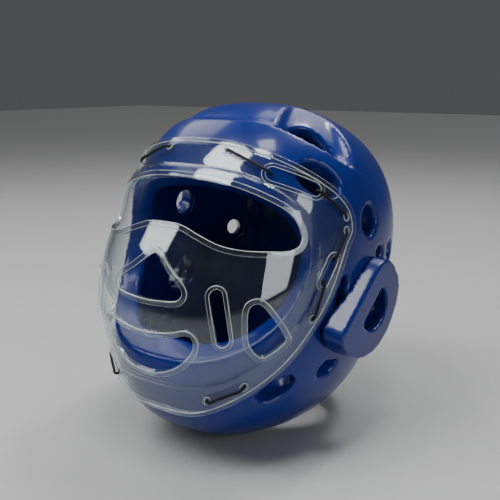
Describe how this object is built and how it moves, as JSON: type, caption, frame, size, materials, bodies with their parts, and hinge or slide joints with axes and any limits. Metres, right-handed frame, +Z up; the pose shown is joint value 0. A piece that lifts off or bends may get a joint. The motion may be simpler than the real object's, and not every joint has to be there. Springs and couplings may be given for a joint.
{
  "type": "taekwondo headgear",
  "caption": "Padded full-head sparring headgear with ear pads and a clear pierced face shield held by elastic lashes.",
  "frame": {"origin": "on the ground under the middle of the headgear's box, as it rests on its chin and nape", "axes": "+Z up, the face opening looks towards -Y and tips back by 16 degrees, +X is the wearer's left"},
  "size_m": [0.246, 0.2826, 0.2837],
  "materials": {
    "foam": "closed-cell foam with a glossy dipped skin",
    "clear_shield": "clear polycarbonate, polished",
    "lash": "black braided elastic cord"
  },
  "bodies": {
    "root": {"foam_shell": "foam", "ear_pad_left": "foam", "ear_pad_right": "foam", "face_shield": "clear_shield", "lash_brow_left": "lash", "lash_brow_right": "lash", "lash_temple_left": "lash", "lash_temple_right": "lash", "lash_side_left": "lash", "lash_side_right": "lash", "lash_cheek_left": "lash", "lash_cheek_right": "lash", "lash_chin_left": "lash", "lash_chin_right": "lash"}
  },
  "joints": []
}
